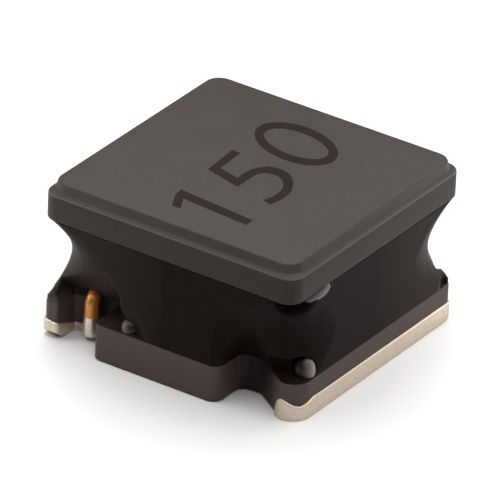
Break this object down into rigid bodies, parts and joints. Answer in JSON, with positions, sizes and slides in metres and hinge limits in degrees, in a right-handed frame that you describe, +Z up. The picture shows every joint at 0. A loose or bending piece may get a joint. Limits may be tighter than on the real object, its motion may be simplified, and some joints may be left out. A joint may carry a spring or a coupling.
{
  "type": "surface-mount power inductor",
  "caption": "Square semi-shielded power inductor with a ferrite drum core, resin-filled sides and two plated terminals under opposite edges.",
  "frame": {"origin": "centre of the mounting plane, under the middle of the two pads", "axes": "+Z up out of the board, X from the left terminal to the right terminal, so the terminals lie at -X and +X"},
  "size_m": [0.005, 0.005, 0.0029],
  "materials": {
    "ferrite": "matt sintered grey-brown ferrite",
    "enamelled_wire": "glossy enamelled copper",
    "magnetic_resin": "satin black-brown resin",
    "terminal_plating": "dull tin plating",
    "solder": "bright solder"
  },
  "bodies": {
    "root": {"drum_core": "ferrite", "winding": "enamelled_wire", "resin_fill": "magnetic_resin", "terminal_left": "terminal_plating", "terminal_right": "terminal_plating", "solder_left": "solder", "solder_right": "solder"}
  },
  "joints": []
}
